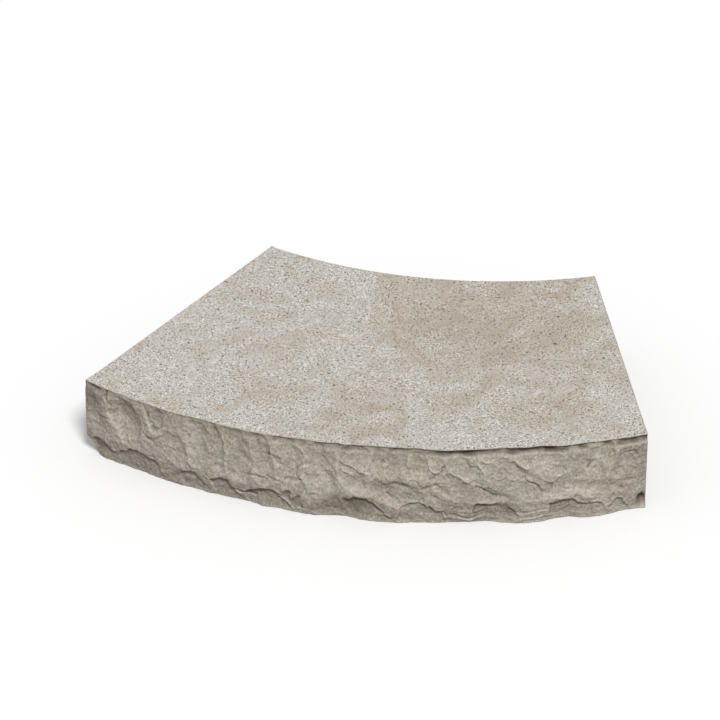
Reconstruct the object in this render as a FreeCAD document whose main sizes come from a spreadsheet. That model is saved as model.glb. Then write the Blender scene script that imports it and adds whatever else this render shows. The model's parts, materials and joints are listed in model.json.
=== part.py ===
"""Ring-segment coping stone for a round fire pit, one of eight, cast in concrete with a rock face.

Frame: millimetres, +Z up, the bed on z = 0. The rock face looks towards -Y and the middle of the
ring lies on +Y. The origin is on the bed, half way between the rock face and the inner corners.
"""
import FreeCAD, Part
import math
import os

import Sketcher

doc = FreeCAD.newDocument("FirePitCoping")

# Driving dimensions, in millimetres and degrees
DIMENSIONS = [
    ("outer_radius", 685.0, "middle of the ring to the arris of the rock face, at mid length"),
    ("rim_depth", 290.0, "arris of the rock face to the inner edge, at mid length"),
    ("face_radius", 540.0, "radius of the rock face's own arc, tighter than the ring"),
    ("slab_thickness", 76.0, "bed to top"),
    ("half_angle", 22.5, "half of the sector, which is an eighth of the ring"),
    ("arris_break", 1.5, "chamfer on the cast arrises"),
    ("belly_swell", 5.0, "how far the rock face stands out past its top arris"),
    ("belly_height", 25.0, "height of that swell above the bed"),
    ("foot_swell", 1.5, "how far the rock face stands out at the bed"),
    ("face_waste", 14.0, "stock left in front of the arris for the rock face to be cut from"),
]
sheet = doc.addObject("Spreadsheet::Sheet", "Sizes")
for row, (alias, value, meaning) in enumerate(DIMENSIONS, start=1):
    sheet.set(f"A{row}", alias)
    sheet.set(f"B{row}", str(value))
    sheet.set(f"C{row}", meaning)
    sheet.setAlias(f"B{row}", alias)
doc.recompute()

# Scars of the flakes struck off the rock face. Each is the bowl of a sphere: its place along the
# face as a share of the half angle, its height as a share of the thickness, the radius of its rim,
# and how deep the bowl goes below the unstruck face, in millimetres.
UPPER_FLAKES = [
    (-0.97, 0.72, 30, 4.5), (-0.90, 0.42, 24, 4.0), (-0.83, 0.74, 30, 6.5), (-0.76, 0.47, 21, 4.5),
    (-0.69, 0.84, 21, 5.5), (-0.64, 0.56, 30, 6.0), (-0.53, 0.68, 31, 6.8), (-0.45, 0.60, 24, 5.2),
    (-0.39, 0.68, 27, 6.3), (-0.30, 0.70, 26, 5.6), (-0.21, 0.68, 29, 6.5), (-0.09, 0.66, 33, 7.2),
    (0.02, 0.79, 20, 4.8), (0.05, 0.47, 18, 4.8), (0.10, 0.84, 17, 4.4), (0.16, 0.40, 25, 5.0),
    (0.17, 0.82, 20, 4.8), (0.24, 0.71, 17, 4.4), (0.29, 0.84, 17, 5.4), (0.34, 0.53, 22, 5.4),
    (0.36, 0.86, 17, 5.0), (0.42, 0.66, 17, 4.8), (0.44, 0.40, 20, 4.7), (0.47, 0.88, 16, 5.4),
    (0.55, 0.70, 19, 5.0), (0.57, 0.47, 21, 5.0), (0.60, 0.88, 16, 5.4), (0.66, 0.79, 19, 5.0),
    (0.71, 0.43, 26, 5.8), (0.75, 0.80, 18, 5.0), (0.84, 0.76, 25, 6.3), (0.82, 0.37, 25, 5.8),
    (0.94, 0.62, 28, 5.6),
]
# Chips off the lower arris, the same way. Their bowls are cut through by the bed.
LOWER_CHIPS = [
    (-0.92, -0.05, 22, 9.5), (-0.83, 0.08, 15, 6.0), (-0.74, -0.08, 27, 9.5),
    (-0.58, -0.10, 25, 8.5), (-0.44, -0.08, 21, 7.5), (-0.33, -0.08, 21, 8.0),
    (-0.25, -0.05, 20, 8.0), (-0.16, 0.00, 16, 7.5), (-0.06, -0.10, 25, 6.5),
    (0.04, -0.07, 26, 9.0), (0.21, -0.09, 22, 7.0), (0.29, -0.07, 15, 6.0), (0.48, -0.03, 23, 9.0),
    (0.71, -0.10, 27, 8.0), (0.88, -0.08, 17, 6.0),
]
# The lump broken off the lower corner at the left-hand joint, the same way
BROKEN_CORNER = (-1.04, 0.14, 22, 14.0)

INNER_RADIUS = "(Sizes.outer_radius - Sizes.rim_depth)"
SET_BACK = "(Sizes.outer_radius - Sizes.face_radius)"

# Turns a sphere so that the seam of its surface faces away from the stone
SEAM_OUTWARD = FreeCAD.Rotation(FreeCAD.Vector(0, 0, 1), -90)


def origin_plane(body, role):
    """The plane of that role in the body's own origin."""
    return next(feature for feature in body.Origin.OriginFeatures if feature.Role == role)


def new_sketch(body, name, role):
    """An empty sketch on one of the body's origin planes."""
    sketch = body.newObject("Sketcher::SketchObject", name)
    sketch.AttachmentSupport = (origin_plane(body, role), [""])
    sketch.MapMode = "FlatFace"
    return sketch


def bind(sketch, constraint, expression):
    """Adds a constraint to the sketch and ties its value to the sheet."""
    number = sketch.addConstraint(constraint)
    sketch.setExpression(f"Constraints[{number}]", expression)


def add_slab(body):
    """The sector seen in plan, round the ring's middle, padded to the thickness of the slab."""
    half = math.radians(sheet.half_angle)
    inner_radius = sheet.outer_radius - sheet.rim_depth
    set_back = sheet.outer_radius - sheet.face_radius
    proud = sheet.face_radius + sheet.face_waste
    reach = set_back * math.cos(half) + math.sqrt(proud**2 - (set_back * math.sin(half))**2)
    turn = math.asin(reach * math.sin(half) / proud)
    down = 1.5 * math.pi
    inner, outer = [[FreeCAD.Vector(side * radius * math.sin(half), -radius * math.cos(half), 0)
                     for side in (-1, 1)] for radius in (inner_radius, reach)]
    up = FreeCAD.Vector(0, 0, 1)
    ring = Part.Circle(FreeCAD.Vector(0, 0, 0), up, inner_radius)
    face = Part.Circle(FreeCAD.Vector(0, -set_back, 0), up, proud)

    sketch = new_sketch(body, "SectorPlan", "XY_Plane")
    back = sketch.addGeometry(Part.ArcOfCircle(ring, down - half, down + half), False)
    front = sketch.addGeometry(Part.ArcOfCircle(face, down - turn, down + turn), False)
    left = sketch.addGeometry(Part.LineSegment(inner[0], outer[0]), False)
    right = sketch.addGeometry(Part.LineSegment(inner[1], outer[1]), False)
    for arc, end, side, side_end in [(back, 1, left, 1), (back, 2, right, 1),
                                     (front, 1, left, 2), (front, 2, right, 2)]:
        sketch.addConstraint(Sketcher.Constraint("Coincident", arc, end, side, side_end))
    sketch.addConstraint(Sketcher.Constraint("Coincident", back, 3, -1, 1))
    sketch.addConstraint(Sketcher.Constraint("PointOnObject", -1, 1, left))
    sketch.addConstraint(Sketcher.Constraint("PointOnObject", -1, 1, right))
    sketch.addConstraint(Sketcher.Constraint("Symmetric", left, 2, right, 2, -2))
    bind(sketch, Sketcher.Constraint("Radius", back, inner_radius), INNER_RADIUS)
    bind(sketch, Sketcher.Constraint("Radius", front, proud),
         "Sizes.face_radius + Sizes.face_waste")
    bind(sketch, Sketcher.Constraint("DistanceY", front, 3, -1, 1, set_back), SET_BACK)
    bind(sketch, Sketcher.Constraint("Angle", left, right, 2 * half), "2 * Sizes.half_angle")

    pad = body.newObject("PartDesign::Pad", "Slab")
    pad.Profile = sketch
    pad.setExpression("Length", "Sizes.slab_thickness")
    doc.recompute()
    return pad


def break_arrises(body, slab):
    """The small chamfer that a mould leaves on the top arris of the inner edge and the joints."""
    top = sheet.slab_thickness
    inner_radius = sheet.outer_radius - sheet.rim_depth
    back = inner_radius * math.cos(math.radians(sheet.half_angle))
    edges = []
    for number, edge in enumerate(slab.Shape.Edges, start=1):
        box = edge.BoundBox
        at_top = abs(box.ZMin - top) < 1e-6 and abs(box.ZMax - top) < 1e-6
        if at_top and box.YMax > -back - sheet.arris_break:
            edges.append(f"Edge{number}")
    chamfer = body.newObject("PartDesign::Chamfer", "ArrisBreak")
    chamfer.Base = (slab, edges)
    chamfer.setExpression("Size", "Sizes.arris_break")
    doc.recompute()
    return chamfer


def swell_face(body):
    """Cuts the waste back to the rock face's swollen section, turned round the face's own arc.

    The section is two arcs that meet upright at the belly: one from the top arris, one to the foot.
    """
    sketch = new_sketch(body, "FaceSection", "YZ_Plane")
    top = sheet.slab_thickness
    spare = sheet.arris_break
    arris = -sheet.outer_radius
    belly = arris - sheet.belly_swell
    foot = arris - sheet.foot_swell
    waste = arris - 2 * sheet.face_waste
    corners = [
        ("over_arris", arris, top + spare, "-Sizes.outer_radius",
         "Sizes.slab_thickness + Sizes.arris_break"),
        ("arris", arris, top, "-Sizes.outer_radius", "Sizes.slab_thickness"),
        ("belly", belly, sheet.belly_height, "-Sizes.outer_radius - Sizes.belly_swell",
         "Sizes.belly_height"),
        ("foot", foot, 0, "-Sizes.outer_radius - Sizes.foot_swell", "0"),
        ("under_foot", foot, -spare, "-Sizes.outer_radius - Sizes.foot_swell",
         "-Sizes.arris_break"),
        ("waste_foot", waste, -spare, "-Sizes.outer_radius - 2 * Sizes.face_waste",
         "-Sizes.arris_break"),
        ("waste_top", waste, top + spare, "-Sizes.outer_radius - 2 * Sizes.face_waste",
         "Sizes.slab_thickness + Sizes.arris_break"),
    ]
    points = {name: FreeCAD.Vector(y, z, 0) for name, y, z, _, _ in corners}
    names = list(points)

    def belly_arc(start, end, rise, swell):
        """An arc upright at the belly that falls back by that swell over that rise."""
        radius = (rise**2 + swell**2) / (2 * swell)
        middle = points["belly"] + FreeCAD.Vector(radius, 0, 0)
        circle = Part.Circle(middle, FreeCAD.Vector(0, 0, 1), radius)
        return Part.ArcOfCircle(circle, circle.parameter(points[start]),
                                circle.parameter(points[end]))

    edges = []
    for start, end in zip(names, names[1:] + names[:1]):
        if start == "arris":
            edge = belly_arc(start, end, top - sheet.belly_height, sheet.belly_swell)
        elif start == "belly":
            edge = belly_arc(start, end, sheet.belly_height, sheet.belly_swell - sheet.foot_swell)
        else:
            edge = Part.LineSegment(points[start], points[end])
        edges.append(sketch.addGeometry(edge, False))
    for edge, following in zip(edges, edges[1:] + edges[:1]):
        sketch.addConstraint(Sketcher.Constraint("Coincident", edge, 2, following, 1))
    for edge, (name, y, z, y_rule, z_rule) in zip(edges, corners):
        bind(sketch, Sketcher.Constraint("DistanceX", -1, 1, edge, 1, y), y_rule)
        if z:
            bind(sketch, Sketcher.Constraint("DistanceY", -1, 1, edge, 1, z), z_rule)
        else:
            sketch.addConstraint(Sketcher.Constraint("PointOnObject", edge, 1, -1))
    upper, lower = edges[names.index("arris")], edges[names.index("belly")]
    sketch.addConstraint(Sketcher.Constraint("Horizontal", upper, 3, upper, 2))
    sketch.addConstraint(Sketcher.Constraint("Horizontal", lower, 3, lower, 1))
    centre = sheet.face_radius - sheet.outer_radius
    axis = sketch.addGeometry(Part.LineSegment(FreeCAD.Vector(centre, 0, 0),
                                               FreeCAD.Vector(centre, top, 0)), True)
    sketch.addConstraint(Sketcher.Constraint("Vertical", axis))
    sketch.addConstraint(Sketcher.Constraint("PointOnObject", axis, 1, -1))
    bind(sketch, Sketcher.Constraint("DistanceX", -1, 1, axis, 1, centre),
         "Sizes.face_radius - Sizes.outer_radius")
    bind(sketch, Sketcher.Constraint("DistanceY", axis, 1, axis, 2, top), "Sizes.slab_thickness")

    groove = body.newObject("PartDesign::Groove", "SwollenFace")
    groove.Profile = sketch
    groove.ReferenceAxis = (sketch, ["Axis0"])
    groove.Angle = 120.0
    groove.Midplane = True
    doc.recompute()
    return groove


def swell_above_belly(height):
    """How far the unstruck face stands out at that share of the thickness, above the belly."""
    rise = f"({height} * Sizes.slab_thickness - Sizes.belly_height)"
    full_rise = "(Sizes.slab_thickness - Sizes.belly_height)"
    return f"(Sizes.belly_swell * (1 - ({rise} / {full_rise})^2))"


def strike(body, name, scar, swell):
    """Takes one scar off the rock face: a sphere with its middle out in front of the face."""
    along, height, rim, depth = scar
    radius = (rim**2 + depth**2) / (2 * depth)
    turn = f"({along} * Sizes.half_angle)"
    face = f"({SET_BACK} * cos({turn}) + sqrt(Sizes.face_radius^2 - ({SET_BACK} * sin({turn}))^2))"
    reach = f"({face} + {swell} + {radius - depth})"
    bowl = body.newObject("PartDesign::SubtractiveSphere", name)
    bowl.Radius = radius
    bowl.Placement.Rotation = SEAM_OUTWARD
    bowl.setExpression("Placement.Base.x", f"{reach} * sin({turn})")
    bowl.setExpression("Placement.Base.y", f"-{reach} * cos({turn})")
    bowl.setExpression("Placement.Base.z", f"{height} * Sizes.slab_thickness")


stone = doc.addObject("PartDesign::Body", "CopingStone")
stone.Label = "coping_stone"
slab = add_slab(stone)
break_arrises(stone, slab)
swell_face(stone)
for number, flake in enumerate(UPPER_FLAKES, start=1):
    strike(stone, f"Flake{number}", flake, swell_above_belly(flake[1]))
for number, chip in enumerate(LOWER_CHIPS, start=1):
    strike(stone, f"Chip{number}", chip, "Sizes.foot_swell")
strike(stone, "BrokenCorner", BROKEN_CORNER, "Sizes.foot_swell")
stone.setExpression("Placement.Base.y",
                    f"(Sizes.outer_radius + {INNER_RADIUS} * cos(Sizes.half_angle)) / 2")
doc.recompute()

for item in doc.Objects:
    if "Invalid" in item.State or "Error" in item.State:
        raise RuntimeError(f"{item.Label} failed: {item.State}")
shape = stone.Shape
if shape.isNull() or not shape.isValid() or len(shape.Solids) != 1:
    raise RuntimeError(f"{stone.Label} is not one valid solid")
os.makedirs("parts", exist_ok=True)
shape.exportStep(f"parts/{stone.Label}.step")
box = shape.optimalBoundingBox(False)
print(f"{stone.Label}: {box.XLength:.1f} x {box.YLength:.1f} x {box.ZLength:.1f} mm, "
      f"{shape.Volume / 1e6:.3f} litres, {len(shape.Faces)} faces")
print(f"middle of the box: {box.Center.x:.2f}, {box.Center.y:.2f}, foot {box.ZMin:.2f}")
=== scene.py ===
"""Looks of a fire pit coping stone: a cast concrete ring segment with a rock-faced outer edge.

The stone is one closed mesh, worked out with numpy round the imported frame: a wall of columns that
runs round the outline, closed by a flat top and a flat bed. Only the rock face has relief. Its
lengths are in millimetres, along the face from mid length (to the right seen from the front) and
up from the bed, and so are the sizes of the patterns. Everything else is in metres.
"""
import json
import math

import bpy
import numpy as np
from mathutils import Matrix, Vector


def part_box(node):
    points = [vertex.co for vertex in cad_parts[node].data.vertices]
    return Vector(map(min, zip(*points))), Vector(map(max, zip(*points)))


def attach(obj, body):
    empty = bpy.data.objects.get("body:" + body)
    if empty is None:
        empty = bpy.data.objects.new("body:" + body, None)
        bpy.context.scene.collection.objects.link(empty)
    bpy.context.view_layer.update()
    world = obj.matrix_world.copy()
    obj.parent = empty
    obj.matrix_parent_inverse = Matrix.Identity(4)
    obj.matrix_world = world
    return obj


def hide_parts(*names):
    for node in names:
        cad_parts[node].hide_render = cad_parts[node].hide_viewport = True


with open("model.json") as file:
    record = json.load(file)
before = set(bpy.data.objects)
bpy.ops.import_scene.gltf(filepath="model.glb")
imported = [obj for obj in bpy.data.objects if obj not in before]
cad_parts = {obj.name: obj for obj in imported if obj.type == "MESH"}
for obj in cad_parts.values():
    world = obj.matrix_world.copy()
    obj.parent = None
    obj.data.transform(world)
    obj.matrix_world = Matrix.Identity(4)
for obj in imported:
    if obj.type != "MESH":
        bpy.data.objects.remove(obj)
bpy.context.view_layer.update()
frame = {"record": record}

MM = 0.001

# The stone's plan. The joint faces give the sector and the middle of the ring.
MOUNTS = {mount["name"]: mount for mount in frame["record"]["mounts"]}
JOINT_POINT = MOUNTS["joint_right"]["pos_m"]
JOINT_NORMAL = MOUNTS["joint_right"]["axis"]
HALF_ANGLE = math.atan2(JOINT_NORMAL[1], JOINT_NORMAL[0])
RING_MIDDLE = JOINT_POINT[1] + JOINT_NORMAL[0] / JOINT_NORMAL[1] * JOINT_POINT[0]
THICKNESS = MOUNTS["top"]["pos_m"][2]
STONE_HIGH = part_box("coping_stone")[1]
INNER_RADIUS = (RING_MIDDLE - STONE_HIGH[1]) / math.cos(HALF_ANGLE)
# The ring's outer radius at mid length, and the tighter radius of the rock face's own arc
OUTER_RADIUS = 0.685
FACE_RADIUS = 0.540
SET_BACK = OUTER_RADIUS - FACE_RADIUS
# The ring's radius at the rock face's corners, where its tighter arc meets the joints
CORNER_RADIUS = SET_BACK * math.cos(HALF_ANGLE) + math.sqrt(
    FACE_RADIUS**2 - (SET_BACK * math.sin(HALF_ANGLE))**2)

# Broken edges: the mould's chamfer round the cast top, a rubbed bed, and the struck arris
CAST_BREAK = 1.5 * MM
BED_BREAK = 0.8 * MM
STRUCK_BREAK = 0.5 * MM
# How far the right-hand corner is drawn in at the bed, and over what length that fades
CORNER_LEAN = 4.5 * MM
LEAN_FADE = 14.0 * MM

# Columns of the mesh along the rock face, each joint and the inner edge, and rows of its wall
FRONT_COLUMNS = 830
JOINT_COLUMNS = 12
INNER_COLUMNS = 64
WALL_ROWS = 104

# The rock face before it is struck swells most at the belly, past its arc: along, out
TOP = THICKNESS / MM
BELLY_HEIGHT = 25.0
BELLY_SWELL = [(-268, 2.7), (-256, 3.2), (-225, 4.0), (0, 4.8), (215, 4.0), (256, 2.0), (268, -1.2)]
# How the foot of it wanders in plan at the bed: along, out
FOOT_WANDER = [
    (-268, -0.5), (-250, 0.2), (-236, -0.8), (-205, -1.1), (-178, 0.5), (-160, 0.0), (-148, -0.7),
    (-136, -0.1), (-112, -1.0), (-94, -0.6), (-82, 2.4), (-70, 1.8), (-64, 0.8), (-52, 3.0),
    (-40, 4.4), (-28, 2.8), (-10, -0.6), (-4, -0.8), (8, 2.4), (26, 4.0), (46, 4.0), (56, 1.6),
    (76, 1.2), (92, 0.0), (104, -0.2), (120, -1.7), (134, 1.1), (146, 4.3), (158, 4.6), (170, 2.9),
    (182, -0.8), (194, -1.0), (206, 2.9), (216, 4.0), (230, 2.0), (242, 0.2), (250, -0.6),
    (260, 1.0), (268, 0.6),
]
# The furthest that the face may stand out: along, out
LIMIT = [(-269, 2.6), (-260, 3.6), (-245, 4.9), (245, 4.9), (269, 1.5)]

# Flake scars: along, height, half length, half width, turn in degrees, depth
FLAKES = [
    (-256, 60, 24, 9, 95, 1.2), (-250, 34, 20, 13, 25, 2.2), (-223, 56, 24, 18, 118, 5.8),
    (-186, 64, 14, 9, 65, 2.8), (-168, 46, 22, 15, 105, 1.5), (-144, 60, 27, 14, 95, 2.1),
    (-126, 60, 28, 11, 90, 2.1), (-105, 62, 30, 14, 95, 2.6), (-80, 61, 28, 13, 95, 3.0),
    (-55, 62, 29, 14, 85, 3.2), (-26, 52, 30, 18, 95, 4.6), (4, 64, 22, 11, 75, 3.2),
    (23, 66, 20, 9, 105, 2.2), (10, 40, 18, 11, 150, 2.6), (44, 66, 20, 13, 30, 3.9),
    (42, 32, 28, 14, 165, 3.5), (64, 60, 17, 12, 95, 2.9), (78, 63, 17, 9, 115, 2.4),
    (97, 67, 20, 11, 120, 2.7), (90, 42, 24, 12, 150, 2.9), (124, 69, 20, 8, 145, 2.3),
    (112, 52, 17, 9, 110, 2.4), (128, 54, 18, 7, 148, 2.2), (118, 33, 24, 10, 168, 2.6),
    (146, 56, 18, 10, 150, 2.6), (160, 69, 20, 8, 150, 2.3), (153, 38, 22, 11, 150, 2.7),
    (178, 62, 20, 10, 155, 2.6), (190, 36, 26, 13, 10, 3.1), (202, 64, 20, 11, 105, 2.7),
    (224, 63, 25, 17, 85, 3.6), (216, 32, 26, 13, 150, 3.1), (252, 56, 28, 15, 80, 3.4),
    (243, 27, 20, 11, 10, 2.7),
]
# The swell that a scar's depth counts from, and the ripples in it: their height and spacing
FLAKE_SWELL = 4.4
RIPPLE_HEIGHT = 0.14
RIPPLE_SPACING = 4.5
# Scales: thin flakes left standing, steep at one end: along, height, half length, half width, the
# way to the steep end in degrees, and rise
SCALES = [
    (-138, 46, 20, 22, 178, 1.6), (-108, 48, 12, 13, 175, 1.2), (-82, 52, 10, 15, 180, 1.2),
    (-56, 58, 12, 18, 180, 2.2), (-29, 40, 15, 18, 186, 2.0), (9, 61, 12, 15, 182, 2.0),
    (24, 63, 8, 10, 190, 1.5), (60, 60, 9, 9, 195, 1.2), (58, 49, 9, 9, 235, 1.3),
    (79, 61, 12, 9, 240, 2.2), (101, 60, 8, 10, 195, 1.2), (104, 51, 9, 12, 245, 1.5),
    (126, 70, 11, 14, 232, 2.0), (128, 56, 10, 12, 235, 1.9), (131, 42, 9, 9, 200, 1.4),
    (158, 69, 11, 12, 235, 1.8), (176, 53, 11, 15, 245, 2.2), (190, 30, 17, 13, 200, 1.9),
    (203, 64, 9, 9, 225, 1.8), (241, 45, 14, 16, 235, 1.9), (222, 26, 14, 11, 185, 1.1),
    (256, 69, 8, 7, 215, 1.8), (36, 50, 11, 10, 215, 1.4), (44, 67, 9, 8, 205, 1.5),
    (-14, 60, 8, 13, 185, 1.3), (70, 44, 8, 7, 235, 1.4), (20, 47, 9, 7, 225, 1.3),
    (-42, 66, 6, 8, 185, 1.1), (88, 40, 9, 8, 225, 1.1), (152, 50, 9, 9, 230, 1.1),
    (218, 62, 10, 9, 220, 1.1),
]
# The width of the step at a scale's rim
SCALE_STEP = 1.2
# How many small flake scars and small scales are strewn over the face
SMALL_FLAKES = 620
SMALL_SCALES = 230
# Chips under the belly, open at the bed: along, half length, height of the arch, lean, depth
CHIPS = [
    (-246, 15, 22, 0.5, 2.4), (-205, 27, 28, 0.0, 2.8), (-155, 19, 21, 0.2, 2.8),
    (-118, 14, 22, 0.3, 3.0), (-76, 23, 21, 0.5, 3.8), (-57, 9, 22, 0.2, 2.8),
    (-44, 9, 19, 0.0, 3.2), (-18, 17, 23, 0.0, 3.0), (11, 23, 25, 0.5, 5.0),
    (58, 16, 22, 0.0, 2.6), (76, 8, 20, 0.6, 2.8), (128, 22, 24, 0.4, 4.0),
    (197, 25, 20, 0.7, 3.2), (237, 11, 13, 0.1, 2.2), (261, 6, 17, 0.0, 3.2),
]
# The width of the step round a chip, the depth from which its floor gets the full painted shade,
# and the height up to which its arch wanders less
CHIP_STEP = 1.5
DEEP_CHIP = 4.0
CHIP_FOOT = 8.0
# The lump broken off the lower corner at the left-hand joint: its bowl's middle along and up, half
# length, half height and depth, and how far its rim stands out past the foot
LUMP = (-281.0, -1.0, 30.0, 23.0, 19.0)
LUMP_RIM = 4.0
# Ridges (rise above nought) and dark seams (below) between the flakes: a line from one point to
# another, its half width, and its rise
CREASES = [
    (-207, 72, -204, 68, 2.2, 1.1), (-204, 68, -201, 61, 2.2, 1.3), (-201, 61, -197, 54, 2.2, 1.4),
    (-197, 54, -192, 48, 2.2, 1.5), (-192, 48, -186, 46, 2.1, 1.4), (-186, 46, -181, 48, 2.0, 1.2),
    (-203, 74, -199, 67, 1.3, -1.4), (-199, 67, -196, 59, 1.3, -1.5),
    (-196, 59, -192, 54, 1.3, -1.5), (-191, 53, -186, 53, 1.4, -0.9),
    (-184, 54, -181, 57, 1.2, -1.0), (-200, 47, -194, 44, 1.3, -0.8),
    (-194, 44, -187, 40, 1.4, -0.9), (-243, 76, -246, 68, 1.3, -2.4),
    (-245, 66, -240, 60, 1.3, -1.0), (-217, 34, -205, 40, 1.5, 0.8), (-2, 48, 5, 45, 1.2, 1.2),
    (-65, 18, -52, 8, 1.6, 1.8), (72, 23, 83, 8, 1.4, 2.1), (-253, 45, -240, 45, 2.0, -0.8),
    (-98, 31, -76, 31, 1.2, -1.2), (-75, 34, -62, 28, 1.2, -1.2), (-60, 32, -45, 32, 1.2, -1.2),
    (40, 42, 56, 37, 1.4, -1.1), (70, 34, 80, 36, 1.5, -1.1), (80, 36, 88, 30, 1.6, -1.2),
    (114, 36, 122, 36, 1.5, -1.0), (122, 36, 130, 30, 1.6, -1.2), (144, 44, 155, 45, 1.5, -1.0),
    (155, 45, 170, 32, 1.6, -1.4), (214, 48, 218, 53, 1.1, -1.5), (247, 60, 255, 62, 1.1, -1.7),
    (255, 62, 258, 58, 1.1, -1.7), (-107, 13, -85, 9, 1.2, -1.6), (-98, 12, -86, 9, 1.2, -1.2),
    (28, 6, 36, 7, 1.3, 1.6), (-52, 5, -38, 6, 1.2, 1.4),
]
# Small pits: along, height, radius, depth
PITS = [
    (-126, 69, 2.0, 1.8), (-72, 56, 1.8, 1.6), (-41, 7, 2.0, 1.8), (38, 30, 1.7, 1.6),
    (28, 60, 1.6, 1.5), (-8, 73, 2.2, 2.0), (244, 24, 2.4, 2.0), (260, 12, 5.0, 5.0),
]
# Thin beds laid bare low on the right: the spacing and rise of each set, their slope, the zones
# where they show most (middle, half length and share), and the heights and the lengths along the
# face between which they fade in
BEDS = [(3.7, 0.45), (6.1, 0.8)]
BED_SLOPE = 0.03
BED_ZONES = [(100, 22, 1.0), (162, 26, 0.7)]
BED_HEIGHTS = (15.0, 12.0)
BED_LENGTHS = (76.0, 84.0)
# Scales and small scars fade towards the joints, and scales towards the bed: where they are gone,
# and where they are whole. A share of the small scars stays at the joints.
JOINT_FADE = (269.0, 260.0)
BED_FADE = (4.0, 12.0)
SCARS_AT_JOINT = 0.15

# How the top arris wanders in plan: along, out
ARRIS_WANDER = [
    (-269, 0.2), (-264, 1.0), (-245, 0.6), (-215, 0.2), (-165, 1.2), (-140, -0.2), (-115, 1.0),
    (-69, 1.6), (-62, -0.6), (0, -1.0), (20, -2.0), (60, -1.8), (84, 0.6), (110, 0.0),
    (131, -1.8), (174, -1.0), (196, 0.8), (218, 0.0), (268, 0.6),
]
# The groove just under the arris, where it was struck from above: along, depth
UNDERCUT = [
    (-269, 0.0), (-263, 2.0), (-256, 1.8), (-250, 0.4), (-240, 0.3), (-120, 0.4), (-62, 1.0),
    (0, 0.9), (60, 1.0), (85, 1.4), (98, 2.8), (104, 4.4), (110, 3.0), (132, 3.0), (140, 4.0),
    (158, 4.4), (186, 4.0), (198, 2.2), (215, 2.6), (240, 3.2), (268, 3.0),
]
# The depths under the top between which the groove opens, and between which it closes again, and
# the groove's depth from which it gets the full painted shade
GROOVE_OPENS = (0.4, 1.2)
GROOVE_CLOSES = (8.0, 5.0)
GROOVE_SHADE_DEPTH = 2.4
# The relief fades over the first depth towards the arris, and the wander over the second below it
ARRIS_SETTLE = 2.5
WANDER_REACH = 30.0
# The most that the face stands out just under the arris, and how much more for each millimetre down
ARRIS_PROUD = 0.15
ARRIS_SLOPE = 0.16
# How far scales and ridges may stand out past the unstruck face
FACE_PROUD = 0.8

# Patches of painted shade, mostly over the chips, creases, pits and hollows: along, height, half
# length, half height, share
PAINTED_SHADE_PATCHES = [
    (-262, 66, 14, 15, 0.6), (-250, 43, 6, 3, 0.4), (-218, 64, 10, 9, 0.2), (-244, 71, 2.5, 5, 0.6),
    (-189, 53, 5, 2, 0.5), (-250, 15, 12, 7, 0.5), (-168, 71, 22, 6, 0.24), (-200, 70, 6, 6, 0.2),
    (-70, 28, 13, 6, 0.26), (-52, 12, 14, 10, 0.32), (-48, 8, 9, 8, 0.3), (-76, 9, 22, 9, 0.25),
    (-72, 56, 2, 2, 0.6), (-20, 11, 18, 11, 0.35), (-8, 73, 3, 2, 0.9), (8, 14, 20, 10, 0.75),
    (34, 7, 8, 2, 0.7), (40, 10, 24, 7, 0.36), (50, 17, 12, 7, 0.2), (20, 67, 3, 5, 0.45),
    (28, 66, 26, 9, 0.16), (42, 61, 12, 12, 0.22), (50, 70, 16, 6, 0.24), (100, 69, 16, 6, 0.18),
    (108, 28, 34, 7, 0.27), (142, 28, 14, 9, 0.24), (142, 13, 9, 8, 0.6), (136, 46, 9, 12, 0.14),
    (262, 60, 10, 22, 0.24), (260, 12, 5, 6, 0.9),
]
# Patches of painted light, where facets face the light: along, height, half length, half height,
# share
PAINTED_LIGHT_PATCHES = [
    (-151, 44, 12, 15, 1.0), (-121, 53, 9, 10, 0.7), (-182, 58, 8, 7, 0.6), (-28, 36, 10, 12, 0.6),
    (10, 27, 10, 6, 0.9), (20, 46, 7, 12, 0.6), (183, 37, 8, 6, 0.9), (206, 28, 20, 10, 0.9),
    (222, 58, 8, 12, 0.8), (222, 16, 7, 7, 1.0), (-100, 12, 8, 5, 0.5), (-182, 10, 9, 5, 0.6),
]
# Painted highlight on the ridges and painted shade in the seams: the size of the blur that gives
# the mean relief, how far a ridge stands out of that mean for the full highlight, the depths under
# the top between which ridges begin to show it, and the columns and rows that are added round the
# face for the blur
RIDGE_BLUR = 4.0
RIDGE_RISE = 0.7
HIGHLIGHT_BAND = (5.0, 11.0)
BLUR_MARGIN = 12
# Lumps of noise are this many standard deviations of their Gaussian across
SIGMAS_PER_LUMP = 2.5

# Tan clouds on the top, in object millimetres: across, towards the fire, half width, half depth and
# share. Each is whole out to the first of the spans, and gone at the second.
TAN_CLOUDS = [(76, 52, 94, 96, 0.95), (155, -72, 42, 56, 0.5), (5, -125, 42, 26, 0.6)]
CLOUD_SPANS = (0.55, 1.35)

# How much of the light on the top comes from the sky and from the sun, where the sun stands, and
# how wide it is
SKY_LEVEL = 0.46
SUN_LEVEL = 0.55
SUN_SIDE = math.radians(27)
SUN_HEIGHT = math.radians(50)
SUN_WIDTH = math.radians(14)
# Half the width of the floor
FLOOR_HALF = 30.0

# The camera: where it looks from, and what it looks at
VIEW_AZIMUTH = math.radians(15.330)
VIEW_ELEVATION = math.radians(31.492)
VIEW_ROLL = math.radians(-2.699)
VIEW_DISTANCE = 12.8923 * OUTER_RADIUS
VIEW_TARGET = Vector((-0.0338 * OUTER_RADIUS, RING_MIDDLE - 0.7953 * OUTER_RADIUS, THICKNESS))
FOCAL_PIXELS = 9897.1
PICTURE_PIXELS = 720
SENSOR_WIDTH = 36.0
NEAREST, FURTHEST = 0.1, 100.0

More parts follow.
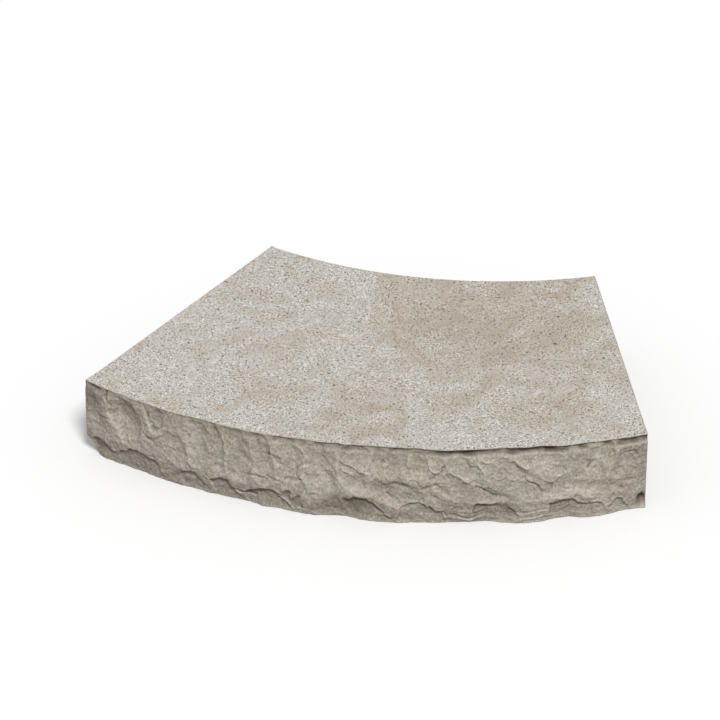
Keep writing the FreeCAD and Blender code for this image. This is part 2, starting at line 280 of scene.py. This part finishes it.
# Settings of the nodes that mix colours, and of those that multiply and add
COLOURS = {"data_type": "RGBA"}
MULTIPLY = {"operation": "MULTIPLY"}
MULTIPLY_ADD = {"operation": "MULTIPLY_ADD"}
CLAMPED_MULTIPLY_ADD = {"operation": "MULTIPLY_ADD", "use_clamp": True}


def linear(code):
    """An sRGB hex colour as linear RGBA."""
    parts = [int(code[i:i + 2], 16) / 255 for i in (1, 3, 5)]
    return [c / 12.92 if c <= 0.04045 else ((c + 0.055) / 1.055) ** 2.4 for c in parts] + [1.0]


def ramp(value, start, end):
    """Nought at the start, one at the end, straight between them and level beyond."""
    return np.clip((value - start) / (end - start), 0, 1)


def blurred(field, step, size):
    """A field blurred with a Gaussian, a product with exp(-2 (pi sigma f)^2) of its frequencies."""
    up = np.fft.fftfreq(field.shape[0], step[0])[:, None]
    across = np.fft.rfftfreq(field.shape[1], step[1])[None, :]
    sigma = size / SIGMAS_PER_LUMP
    kept = np.exp(-2 * (math.pi * sigma) ** 2 * (up**2 + across**2))
    return np.fft.irfft2(np.fft.rfft2(field) * kept, s=field.shape)


def lumps(grid, size, seed):
    """White noise on a grid (its shape and step), blurred to lumps of that size, of unit spread."""
    shape, step = grid
    field = blurred(np.random.default_rng(seed).standard_normal(shape), step, size)
    return field / field.std()


def lumpy(grid, *terms):
    """A sum of lumps of several sizes. A term is their height, their size and their seed."""
    return sum(height * lumps(grid, size, seed) for height, size, seed in terms)


def painted_highlight_and_shade(relief, step):
    """How far each point stands out of the relief round it, from -1 in a seam to 1 on a ridge: the
    mark for painted shade in the seams and a painted highlight on the ridges.

    It is (relief - blurred relief) / RIDGE_RISE, and near the top arris it is at most nought.
    """
    inner = slice(BLUR_MARGIN, -BLUR_MARGIN)
    mean = blurred(np.pad(relief, BLUR_MARGIN, mode="edge"), step, RIDGE_BLUR)[inner, inner]
    below_arris = np.arange(len(relief))[::-1, None] * step[0]
    return np.minimum(np.clip((relief - mean) / RIDGE_RISE, -1, 1), ramp(below_arris, *HIGHLIGHT_BAND))


def section(height, swell, foot):
    """The unstruck section, which swells most at the belly.

    With a and b as shares of the way from the belly up to the arris and down to the bed, it is
    swell (1 - a^1.5) - (swell - foot) b^1.3.
    """
    above = ramp(height, BELLY_HEIGHT, TOP)
    below = ramp(height, BELLY_HEIGHT, 0)
    return swell * (1 - above**1.5) - (swell - foot) * below**1.3


def in_oval(along, height, middle, level, half_length, half_width, turn):
    """Each point's place in a turned oval, as shares of its half length and half width."""
    c, s = math.cos(math.radians(turn)), math.sin(math.radians(turn))
    u = ((along - middle) * c + (height - level) * s) / half_length
    v = ((height - level) * c - (along - middle) * s) / half_width
    return u, v


def flakes(along, height):
    """The lowest of the flake scars: paraboloid bowls, depth (u^2 + v^2 - 1) each.

    u and v are the shares from in_oval. Rings of a cosine of the distance, which fade towards the
    middle, are the ripples that a blow leaves.
    """
    lowest = np.full(along.shape, np.inf)
    for middle, level, half_length, half_width, turn, depth in FLAKES:
        u, v = in_oval(along, height, middle, level, half_length, half_width, turn)
        square = u**2 + v**2
        waves = np.sqrt(square) * half_width / RIPPLE_SPACING
        rings = RIPPLE_HEIGHT * square * np.cos(2 * math.pi * waves)
        start = section(level, FLAKE_SWELL, 0.0)
        lowest = np.minimum(lowest, start + depth * (square - 1) + rings)
    return lowest


def small_flakes(along, height):
    """Shallow scars a few millimetres wide that cover the face, the same bowls strewn at random.

    Left of mid length they run upright, and to the right they slope down with the big ones.
    """
    rng = np.random.default_rng(21)
    lowest = np.zeros(along.shape)
    for _ in range(SMALL_FLAKES):
        middle, level = rng.uniform(-270, 270), rng.uniform(-4, 80)
        half_width = rng.uniform(2.0, 7.0)
        half_length = half_width * rng.uniform(1.2, 2.4)
        turn = rng.normal(100 if middle < 0 else 148, 22)
        depth = half_width * rng.uniform(0.05, 0.13)
        u, v = in_oval(along, height, middle, level, half_length, half_width, turn)
        lowest = np.minimum(lowest, depth * (u**2 + v**2 - 1))
    return lowest


def small_scales():
    """Scales 6 to 16 mm long, strewn at random between the listed ones.

    Their steep end is the left one, and to the right of mid length the lower left one.
    """
    rng = np.random.default_rng(44)
    middles = rng.uniform(-266, 266, SMALL_SCALES)
    sizes = rng.uniform(3.0, 8.0, SMALL_SCALES)
    return [(middle, rng.uniform(6, 74), size, size * rng.uniform(0.7, 1.3),
             rng.normal(185 if middle < 0 else 222, 22), 0.11 * size)
            for middle, size in zip(middles, sizes)]


def scales(along, height, steepness):
    """The highest of the scales: each a ramp that climbs to its steep end, and stops there.

    u and v are the shares from in_oval, with u towards the steep end. The ramp is
    rise ((1 + u) / 2)^1.3, and it falls to nought over SCALE_STEP at the rim, or over less where
    the steepness is above one.
    """
    highest = np.zeros(along.shape)
    for middle, level, half_length, half_width, turn, rise in SCALES + small_scales():
        u, v = in_oval(along, height, middle, level, half_length, half_width, turn)
        inside = (1 - np.sqrt(u**2 + v**2)) * min(half_length, half_width)
        climb = rise * (np.clip(1 + u, 0, 2) / 2)**1.3
        highest = np.maximum(highest, climb * ramp(inside * steepness, 0, SCALE_STEP))
    return highest


def chips(along, height, steepness):
    """How deep the chips go: a step under an elliptic arch, then less towards the bed.

    With h the height as a share of the arch, the floor is depth h^0.7 deep. The step is as wide as
    CHIP_STEP, or narrower where the steepness is above one. The second array is the share of
    painted shade on the floors, which is more in the deeper chips.
    """
    deepest = np.zeros(along.shape)
    broken = np.zeros(along.shape)
    for middle, half_length, arch, lean, depth in CHIPS:
        share = np.clip(height, 0, None) / arch
        u = (along - middle - lean * (arch / 2 - height)) / half_length
        inside = (1 - np.sqrt(u**2 + share**2)) * min(half_length, arch)
        step = ramp(inside * steepness, 0, CHIP_STEP)
        deepest = np.maximum(deepest, depth * step * np.clip(share, 0, 1)**0.7)
        # Painted shade on the floor: the share is more in the deeper chips
        chip_shade_share = min(depth / DEEP_CHIP, 1)**2 * np.clip(share, 0.3, 1)
        broken = np.maximum(broken, step * chip_shade_share)
    return deepest, broken


def bedding(along, height, warp):
    """Thin beds laid bare low on the right: saw-teeth of the warped height.

    Each tooth rises over three quarters of its spacing and falls over the rest.
    """
    total = np.zeros(along.shape)
    for spacing, rise in BEDS:
        share = (height + BED_SLOPE * along + warp) / spacing
        tooth = share - np.floor(share)
        total += rise * (np.minimum(tooth / 0.75, (1 - tooth) / 0.25) - 0.5)
    shown = sum(part * np.exp(-((along - middle) / half_length)**4)
                for middle, half_length, part in BED_ZONES)
    return total * (0.25 + shown) * ramp(height, *BED_HEIGHTS) * ramp(along, *BED_LENGTHS)


def creases(along, height):
    """The sum of the creases: each its rise times a Gaussian of the distance from its line."""
    total = np.zeros(along.shape)
    for a0, h0, a1, h1, half_width, rise in CREASES:
        run, climb = a1 - a0, h1 - h0
        share = ((along - a0) * run + (height - h0) * climb) / (run**2 + climb**2)
        share = np.clip(share, 0, 1)
        square = (along - a0 - share * run)**2 + (height - h0 - share * climb)**2
        total += rise * np.exp(-square / half_width**2)
    return total


def pits(along, height):
    """The sum of the pits: each its depth times a Gaussian of the distance from its middle."""
    return sum(depth * np.exp(-((along - middle)**2 + (height - level)**2) / radius**2)
               for middle, level, radius, depth in PITS)


def patches(table, along, height):
    """The strongest of the patches at each point: each its share times a Gaussian."""
    strongest = np.zeros(along.shape)
    for middle, level, half_length, half_height, share in table:
        u, v = in_oval(along, height, middle, level, half_length, half_height, 0)
        strongest = np.maximum(strongest, share * np.exp(-u**2 - v**2))
    return strongest


def struck_face(along, height, moved, whole, foot, grid):
    """The unstruck face with all that was struck off it, and the share of painted shade in its
    chips.

    It is the lowest of the unstruck face, the flakes and the broken corner, less the chips, pits
    and small flakes, with the creases, beds and scales. Most of their places are moved by lumps of
    noise, so that their rims wander. The rims of chips and scales wander more, and their steps are
    sharp in some places and soft in others.
    """
    moved_along, moved_height = moved
    struck = np.minimum(whole, flakes(*moved))
    ragged = [lumpy(grid, (1.8, 16, 31), (0.7, 5, 32)), lumpy(grid, (1.4, 13, 33), (0.6, 5, 34))]
    chip_height = height + (0.6 * (moved_height - height) + ragged[1]) * ramp(height, 0, CHIP_FOOT)
    depth, broken = chips(moved_along + ragged[0], chip_height,
                          np.exp(lumpy(grid, (0.8, 22, 35)) - 0.5))
    struck -= depth
    struck += creases(*moved)
    struck += bedding(along, height, lumpy(grid, (1.8, 22, 51), (1.0, 9, 52)))
    crooked = [lumpy(grid, (2.0, 11, seed), (0.9, 4.5, seed + 10)) for seed in (61, 63)]
    thin = scales(moved_along + crooked[0], moved_height + crooked[1],
                  np.exp(lumpy(grid, (0.8, 20, 71)) - 0.2))
    from_joint = ramp(np.abs(along), *JOINT_FADE)
    struck += from_joint * ramp(height, *BED_FADE) * thin * (1 - 0.6 * broken)
    struck -= pits(*moved)
    struck += np.maximum(from_joint, SCARS_AT_JOINT) * small_flakes(*moved)
    struck += lumpy(grid, (0.16, 4.5, 7), (0.12, 1.8, 8))
    middle, level, half_length, half_height, depth = LUMP
    u, v = in_oval(*moved, middle, level, half_length, half_height, 0)
    return np.minimum(struck, foot + depth * (u**2 + v**2 - 1) + LUMP_RIM), broken


def rock_relief(along, height, step):
    """How far the rock face stands out at each point of it, and its two marks.

    Near the top it is drawn in to the arris, which wanders in plan and has a groove under it. The
    marks are the share of painted shade at each point, in the chips, in the groove and on the
    patches of painted shade, and the painted highlight and shade from its ridges, its seams and the
    patches of painted light.
    """
    grid = (along.shape, step)
    shift = [lumpy(grid, (1.6, 24, seed), (0.7, 7, seed + 10)) for seed in (3, 5)]
    moved = along + shift[0], height + shift[1]
    foot = np.interp(along, *zip(*FOOT_WANDER))
    whole = section(height, np.interp(along, *zip(*BELLY_SWELL)), foot)
    struck, broken = struck_face(along, height, moved, whole, foot, grid)

    below_top = TOP - height
    lip = ramp(below_top, *GROOVE_OPENS) * ramp(below_top, *GROOVE_CLOSES)
    groove = np.interp(along, *zip(*UNDERCUT)) * lip * (1.2 + lumpy(grid, (0.5, 9, 12)))
    wander = np.interp(along, *zip(*ARRIS_WANDER)) + lumpy(grid, (0.3, 6.0, 9))[:1]
    settled = struck * ramp(below_top, 0, ARRIS_SETTLE)
    drawn_in = np.minimum(settled, ARRIS_PROUD + ARRIS_SLOPE * below_top)
    relief = drawn_in - groove + wander * ramp(below_top, WANDER_REACH, 0)
    relief = np.minimum(np.minimum(relief, whole + FACE_PROUD), np.interp(along, *zip(*LIMIT)))

    # Painted shade in the groove under the arris, darker where the groove is deeper
    groove_shade = ramp(groove, 0, GROOVE_SHADE_DEPTH) * np.clip(0.85 + lumpy(grid, (0.3, 7, 41)), 0, 1)
    # Painted shade: in the chips, in the groove under the arris, and on the patches of painted
    # shade
    painted_shade = np.maximum(0.55 * broken, 0.8 * groove_shade)
    painted_shade = np.maximum(painted_shade, patches(PAINTED_SHADE_PATCHES, *moved))
    # Painted highlight on the ridges and painted shade in the seams, from how far each point stands
    # out
    highlight_and_shade = painted_highlight_and_shade(relief, step)
    # The patches of painted light add to the painted highlight
    highlight_and_shade += patches(PAINTED_LIGHT_PATCHES, *moved) * (1 + np.minimum(highlight_and_shade, 0))
    return relief, painted_shade, np.minimum(highlight_and_shade, 1)


def outline_rows(face_turn, corner, out):
    """The stone's outline in plan at each height, as rows of closed rings.

    The rock face's arc is pushed out along the ring's radius by the relief. A joint face, the inner
    arc and the other joint face follow. The right-hand corner leans in towards the bed.
    """
    edge = np.stack([FACE_RADIUS * np.sin(face_turn),
                     -SET_BACK - FACE_RADIUS * np.cos(face_turn)], axis=-1)
    radial = edge / np.linalg.norm(edge, axis=-1, keepdims=True)
    front = edge + radial * out[..., None]
    fall = np.linspace(1, 0, WALL_ROWS)[:, None]
    lean = CORNER_LEAN * fall * np.exp((face_turn - corner) * FACE_RADIUS / LEAN_FADE)
    lean = lean[..., None] * [-math.cos(HALF_ANGLE), -math.sin(HALF_ANGLE)]
    ring_turn = np.linspace(HALF_ANGLE, -HALF_ANGLE, INNER_COLUMNS)
    inner = INNER_RADIUS * np.stack([np.sin(ring_turn), -np.cos(ring_turn)], axis=-1)
    inner = np.broadcast_to(inner, (WALL_ROWS, INNER_COLUMNS, 2))
    share = np.linspace(0, 1, JOINT_COLUMNS + 2)[1:-1, None]
    right = front[:, -1:] * (1 - share) + inner[:, :1] * share + lean[:, -1:] * (1 - share)**4
    left = (front[:, :1] * (1 - share) + inner[:, -1:] * share)[:, ::-1]
    return np.concatenate([front + lean, right, inner, left], axis=1) + [0, RING_MIDDLE]


def stone_rows():
    """The stone's vertices, row by row from the bed's loop to the top's, and their two marks.

    Each row is a closed ring. The first and last rows step in by the width of the broken edges.
    """
    corner = math.asin(CORNER_RADIUS * math.sin(HALF_ANGLE) / FACE_RADIUS)
    face_turn = np.linspace(-corner, corner, FRONT_COLUMNS)
    along = face_turn * FACE_RADIUS / MM
    heights = np.linspace(0, TOP, WALL_ROWS)
    step = (heights[1] - heights[0], along[1] - along[0])
    relief, painted_shade, highlight_and_shade = rock_relief(*np.meshgrid(along, heights), step)
    plan = outline_rows(face_turn, corner, relief * MM)

    columns = plan.shape[1]
    above = np.full(columns, CAST_BREAK)
    above[:FRONT_COLUMNS] = STRUCK_BREAK
    climb = np.linspace(0, 1, WALL_ROWS)[:, None]
    level = BED_BREAK + climb * (THICKNESS - above - BED_BREAK)
    wall = np.concatenate([plan, level[..., None]], axis=-1)

    following = np.roll(plan, -1, axis=1) - np.roll(plan, 1, axis=1)
    inward = np.stack([-following[..., 1], following[..., 0]], axis=-1)
    inward /= np.linalg.norm(inward, axis=-1, keepdims=True)
    top_loop = plan[-1] + inward[-1] * above[:, None]
    bed_loop = plan[0] + inward[0] * BED_BREAK
    top_loop = np.concatenate([top_loop, np.full((columns, 1), THICKNESS)], axis=1)
    bed_loop = np.concatenate([bed_loop, np.zeros((columns, 1))], axis=1)
    rows = np.concatenate([bed_loop[None], wall, top_loop[None]])
    marks = np.zeros((2,) + rows.shape[:2], dtype=np.float32)
    marks[:, 1:-1, :FRONT_COLUMNS] = painted_shade, highlight_and_shade
    return rows, marks


def make_stone():
    """Puts the stone's rows into a mesh: quads between them, and a flat face for each end.

    The rock face has its own finish. The four corners and the broken edges are sharp.
    """
    rows, marks = stone_rows()
    count, columns = rows.shape[:2]
    r = np.arange(count - 1)[:, None]
    c = np.arange(columns)[None, :]
    following = (c + 1) % columns
    quads = np.stack(np.broadcast_arrays(r * columns + c, r * columns + following,
                                         (r + 1) * columns + following, (r + 1) * columns + c), -1)
    bed = np.arange(columns)[::-1]
    top = np.arange(columns) + (count - 1) * columns
    mesh = bpy.data.meshes.new("coping_stone_cast")
    mesh.from_pydata(rows.reshape(-1, 3).tolist(), [],
                     quads.reshape(-1, 4).tolist() + [bed.tolist(), top.tolist()])
    mesh.materials.append(fine_cast_concrete())
    mesh.materials.append(split_concrete())
    on_face = np.broadcast_to(c < FRONT_COLUMNS - 1, quads.shape[:2])
    slots = np.concatenate([on_face.ravel(), [0, 0]]).astype(np.int32)
    mesh.polygons.foreach_set("material_index", slots)
    mesh.polygons.foreach_set("use_smooth", np.ones(len(slots), dtype=bool))
    # The two marks: the share of painted shade, and the painted highlight and shade on ridges and
    # seams
    for name, values in zip(("painted_shade_share", "painted_highlight_and_shade"), marks):
        mesh.attributes.new(name, "FLOAT", "POINT").data.foreach_set("value", values.ravel())

    ends = np.empty(len(mesh.edges) * 2, dtype=np.int32)
    mesh.edges.foreach_get("vertices", ends)
    row, column = np.divmod(ends.reshape(-1, 2), columns)
    corners = [0, FRONT_COLUMNS - 1, FRONT_COLUMNS + JOINT_COLUMNS,
               FRONT_COLUMNS + JOINT_COLUMNS + INNER_COLUMNS - 1]
    upright = (column[:, 0] == column[:, 1]) & np.isin(column[:, 0], corners)
    level = (row[:, 0] == row[:, 1]) & np.isin(row[:, 0], [0, 1, count - 2, count - 1])
    sharp = mesh.attributes.new("sharp_edge", "BOOLEAN", "EDGE")
    sharp.data.foreach_set("value", upright | level)
    mesh.update()
    piece = bpy.data.objects.new("coping_stone_cast", mesh)
    bpy.context.scene.collection.objects.link(piece)
    return piece


def add(tree, kind, settings=None, **links):
    """Adds a node: its settings are properties, and its inputs are values, sockets or hex colours.

    An input is named with _ for a space, or as i and its number.
    """
    node = tree.nodes.new(kind)
    for name, value in (settings or {}).items():
        setattr(node, name, value)
    for name, value in links.items():
        key = int(name[1:]) if name[1:].isdigit() else name.replace("_", " ")
        if isinstance(value, bpy.types.NodeSocket):
            tree.links.new(value, node.inputs[key])
        else:
            node.inputs[key].default_value = linear(value) if isinstance(value, str) else value
    return node


def new_material(name):
    """An empty material with its output, and the Object coordinates that its patterns use."""
    material = bpy.data.materials.new(name)
    material.use_nodes = True
    tree = material.node_tree
    tree.nodes.clear()
    output = tree.nodes.new("ShaderNodeOutputMaterial")
    place = tree.nodes.new("ShaderNodeTexCoord").outputs["Object"]
    return material, tree, output, place


def speckle(tree, place, size, low, high, detail=2.0, roughness=0.5, swirl=0.0):
    """Noise with lumps of that size in millimetres, spread between the low and high values."""
    noise = add(tree, "ShaderNodeTexNoise", Vector=place, Scale=0.5 / (size * MM), Detail=detail,
                Roughness=roughness, Distortion=swirl)
    return add(tree, "ShaderNodeMapRange", {"clamp": True}, Value=noise.outputs["Fac"],
               From_Min=low, From_Max=high).outputs["Result"]


def grains(tree, place, size):
    """Packed grains of that size in millimetres, each with two random values of its own."""
    cells = add(tree, "ShaderNodeTexVoronoi", Vector=place, Scale=1 / (size * MM))
    parts = add(tree, "ShaderNodeSeparateColor", Color=cells.outputs["Color"])
    return parts.outputs["Red"], parts.outputs["Green"]


def tan_regions(tree, place):
    """How tan the top is round each point: small clouds of noise, and more in the large clouds."""
    small = speckle(tree, place, 26, 0.36, 0.64, 3.0, 0.5, 1.2)
    region = add(tree, "ShaderNodeMath", {"operation": "SUBTRACT"}, i0=small, i1=0.5).outputs[0]
    for across, inward, half_width, half_depth, part in TAN_CLOUDS:
        spread = add(tree, "ShaderNodeMapping", {"vector_type": "TEXTURE"}, Vector=place,
                     Location=(across * MM, inward * MM, THICKNESS),
                     Scale=(half_width * MM, half_depth * MM, 1.0))
        away = add(tree, "ShaderNodeVectorMath", {"operation": "LENGTH"}, i0=spread.outputs[0])
        cloud = add(tree, "ShaderNodeMapRange", Value=away.outputs["Value"],
                    From_Min=CLOUD_SPANS[1], From_Max=CLOUD_SPANS[0])
        region = add(tree, "ShaderNodeMath", MULTIPLY_ADD, i0=cloud.outputs[0], i1=part,
                     i2=region).outputs[0]
    return region


def fine_cast_concrete():
    """Wet-cast concrete, lightly blasted: matt and sandy, with no gloss.

    The eye sees pale and dark grains in a warm grey, tan clouds whose edges are a mix of tan and
    grey grains, smoother patches where the cement paste is left, which are more where it is tan,
    and pits and holes without relief, whose darkness is painted shade. Finer sand and pits would
    not show in the render, so the grains are drawn 0.62 mm wide, the pits from lumps of 1.15 mm,
    and a few holes from lumps of 2 mm.
    """
    material, tree, output, place = new_material("fine_cast_concrete")
    value, choice = grains(tree, place, 0.62)
    region = tan_regions(tree, place)
    share = add(tree, "ShaderNodeMath", CLAMPED_MULTIPLY_ADD, i0=choice, i1=0.8, i2=region)
    share = add(tree, "ShaderNodeMath", CLAMPED_MULTIPLY_ADD, i0=share.outputs[0], i1=1.2,
                i2=-0.45).outputs[0]
    dark = add(tree, "ShaderNodeMix", COLOURS, i0=share, i6="#736d62", i7="#685c4b").outputs[2]
    light = add(tree, "ShaderNodeMix", COLOURS, i0=share, i6="#fbf7f0", i7="#e9ddcc").outputs[2]
    paste = add(tree, "ShaderNodeMix", COLOURS, i0=share, i6="#c1bcb3", i7="#ab9d8c").outputs[2]
    colour = add(tree, "ShaderNodeMix", COLOURS, i0=value, i6=dark, i7=light).outputs[2]
    smooth = speckle(tree, place, 12, 0.44, 0.60, 4.0, 0.6, 0.8)
    smooth = add(tree, "ShaderNodeMath", MULTIPLY, i0=smooth, i1=0.5)
    smooth = add(tree, "ShaderNodeMath", CLAMPED_MULTIPLY_ADD, i0=region, i1=0.25,
                 i2=smooth.outputs[0])
    colour = add(tree, "ShaderNodeMix", COLOURS, i0=smooth.outputs[0], i6=colour,
                 i7=paste).outputs[2]
    # Painted shade in the small pits, which have no relief
    fine_pits = speckle(tree, place, 1.15, 0.65, 0.67, 1.0)
    colour = add(tree, "ShaderNodeMix", COLOURS, i0=fine_pits, i6=colour, i7="#4a4138").outputs[2]
    # Painted shade in a few holes, which have no relief
    holes = speckle(tree, place, 2.0, 0.83, 0.85, 0.0)
    colour = add(tree, "ShaderNodeMix", COLOURS, i0=holes, i6=colour, i7="#3f372f").outputs[2]
    bump = add(tree, "ShaderNodeBump", Strength=0.25, Distance=0.4 * MM, Height=value)
    shader = add(tree, "ShaderNodeBsdfPrincipled", Base_Color=colour, Roughness=0.92, IOR=1.5,
                 Specular_IOR_Level=0.25, Normal=bump.outputs["Normal"])
    tree.links.new(shader.outputs["BSDF"], output.inputs["Surface"])
    return material


def split_concrete():
    """Concrete struck like stone: matt, rougher than the top, with crushed grains and dust.

    The eye sees grey-brown bowls of crushed grains, drawn 1 mm wide so that they show. Dust lies in
    paler patches 7 mm wide. A highlight is painted on the ridges and on patches that face the
    light, and shade is painted in the seams, the chips, the groove under the arris and on darker
    patches.
    """
    material, tree, output, place = new_material("split_concrete")
    clouds = speckle(tree, place, 40, 0.42, 0.62, 3.0)
    dust = speckle(tree, place, 7, 0.44, 0.66, 4.0, 0.65)
    fine = speckle(tree, place, 1.1, 0.28, 0.72, 2.0, 0.6)
    sand, _ = grains(tree, place, 1.0)
    sand = add(tree, "ShaderNodeMath", MULTIPLY, i0=sand, i1=0.45).outputs[0]
    mixed = add(tree, "ShaderNodeMath", MULTIPLY_ADD, i0=fine, i1=0.55, i2=sand).outputs[0]
    dark = add(tree, "ShaderNodeMix", COLOURS, i0=clouds, i6="#91887a", i7="#897e6e").outputs[2]
    light = add(tree, "ShaderNodeMix", COLOURS, i0=clouds, i6="#d4cdc2", i7="#ccc3b5").outputs[2]
    colour = add(tree, "ShaderNodeMix", COLOURS, i0=mixed, i6=dark, i7=light).outputs[2]
    pale = add(tree, "ShaderNodeMix", COLOURS, i0=mixed, i6="#938a7c", i7="#dcd5ca").outputs[2]
    colour = add(tree, "ShaderNodeMix", COLOURS, i0=dust, i6=colour, i7=pale).outputs[2]
    # Painted shade, in #655b4d: in the chips, in the groove under the arris and on the patches of
    # painted shade
    painted_shade = add(tree, "ShaderNodeAttribute", {"attribute_name": "painted_shade_share"}).outputs["Fac"]
    colour = add(tree, "ShaderNodeMix", COLOURS, i0=painted_shade, i6=colour, i7="#655b4d").outputs[2]
    # Painted highlight on the ridges, in #e6dfd4, and painted shade in the seams, in #655b4e
    highlight_and_shade = add(tree, "ShaderNodeAttribute", {"attribute_name": "painted_highlight_and_shade"}).outputs["Fac"]
    ridge = add(tree, "ShaderNodeMapRange", Value=highlight_and_shade, From_Min=0.15, From_Max=1.0, To_Max=0.30)
    colour = add(tree, "ShaderNodeMix", COLOURS, i0=ridge.outputs[0], i6=colour,
                 i7="#e6dfd4").outputs[2]
    seam = add(tree, "ShaderNodeMapRange", Value=highlight_and_shade, From_Min=-0.1, From_Max=-1.0, To_Max=0.36)
    colour = add(tree, "ShaderNodeMix", COLOURS, i0=seam.outputs[0], i6=colour,
                 i7="#655b4e").outputs[2]
    bump = add(tree, "ShaderNodeBump", Strength=0.5, Distance=0.7 * MM, Height=mixed)
    shader = add(tree, "ShaderNodeBsdfPrincipled", Base_Color=colour, Roughness=0.95, IOR=1.5,
                 Specular_IOR_Level=0.2, Normal=bump.outputs["Normal"])
    tree.links.new(shader.outputs["BSDF"], output.inputs["Surface"])
    return material


def seen_or_mirrored(tree):
    """One for a ray from the camera, or that a mirror or a clear body passes on, else nought."""
    rays = tree.nodes.new("ShaderNodeLightPath")
    either = add(tree, "ShaderNodeMath", {"operation": "MAXIMUM"},
                 i0=rays.outputs["Is Camera Ray"], i1=rays.outputs["Is Glossy Ray"])
    return add(tree, "ShaderNodeMath", {"operation": "MAXIMUM"}, i0=either.outputs[0],
               i1=rays.outputs["Is Transmission Ray"]).outputs[0]


def make_floor():
    """A plain pale floor, wide enough to fill every view. The camera sees it white.

    The stone sees it greyer, so that it throws less light up under the rock face.
    """
    half = FLOOR_HALF
    mesh = bpy.data.meshes.new("floor")
    mesh.from_pydata([(-half, -half, 0), (half, -half, 0), (half, half, 0), (-half, half, 0)], [],
                     [(0, 1, 2, 3)])
    floor = bpy.data.objects.new("floor", mesh)
    bpy.context.scene.collection.objects.link(floor)
    material, tree, output, _ = new_material("studio_floor")
    colour = add(tree, "ShaderNodeMix", COLOURS, i0=seen_or_mirrored(tree), i6="#7a7874",
                 i7="#ffffff").outputs[2]
    shader = add(tree, "ShaderNodeBsdfDiffuse", Color=colour)
    tree.links.new(shader.outputs["BSDF"], output.inputs["Surface"])
    mesh.materials.append(material)


def light_scene():
    """A soft sun high on the right of the camera, and a sky that the camera sees white."""
    world = bpy.data.worlds.new("studio")
    bpy.context.scene.world = world
    world.use_nodes = True
    tree = world.node_tree
    tree.nodes.clear()
    output = tree.nodes.new("ShaderNodeOutputWorld")
    strength = add(tree, "ShaderNodeMapRange", Value=seen_or_mirrored(tree), To_Min=SKY_LEVEL,
                   To_Max=1.0)
    sky = add(tree, "ShaderNodeBackground", Color="#ffffff", Strength=strength.outputs["Result"])
    tree.links.new(sky.outputs["Background"], output.inputs["Surface"])

    lamp = bpy.data.lights.new("key", "SUN")
    lamp.energy = SUN_LEVEL * math.pi / math.sin(SUN_HEIGHT)
    lamp.angle = SUN_WIDTH
    key = bpy.data.objects.new("key", lamp)
    towards = Vector((math.sin(SUN_SIDE) * math.cos(SUN_HEIGHT),
                      -math.cos(SUN_SIDE) * math.cos(SUN_HEIGHT), math.sin(SUN_HEIGHT)))
    key.rotation_euler = towards.to_track_quat("Z", "Y").to_euler()
    bpy.context.scene.collection.objects.link(key)


def place_camera():
    """The camera from its azimuth, elevation, roll and distance about the target."""
    back = Vector((math.sin(VIEW_AZIMUTH) * math.cos(VIEW_ELEVATION),
                   -math.cos(VIEW_AZIMUTH) * math.cos(VIEW_ELEVATION), math.sin(VIEW_ELEVATION)))
    level_right = (-back).cross(Vector((0, 0, 1))).normalized()
    level_down = (-back).cross(level_right)
    right = math.cos(VIEW_ROLL) * level_right - math.sin(VIEW_ROLL) * level_down
    down = math.sin(VIEW_ROLL) * level_right + math.cos(VIEW_ROLL) * level_down
    data = bpy.data.cameras.new("camera")
    data.sensor_width = SENSOR_WIDTH
    data.lens = FOCAL_PIXELS / PICTURE_PIXELS * SENSOR_WIDTH
    data.clip_start = NEAREST
    data.clip_end = FURTHEST
    camera = bpy.data.objects.new("camera", data)
    turn = Matrix((right, -down, back)).transposed().to_4x4()
    camera.matrix_world = Matrix.Translation(VIEW_TARGET + back * VIEW_DISTANCE) @ turn
    bpy.context.scene.collection.objects.link(camera)
    bpy.context.scene.camera = camera


place_camera()
stone = make_stone()
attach(stone, "root")
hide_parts("coping_stone")
make_floor()
light_scene()
bpy.context.scene.view_settings.view_transform = "Standard"
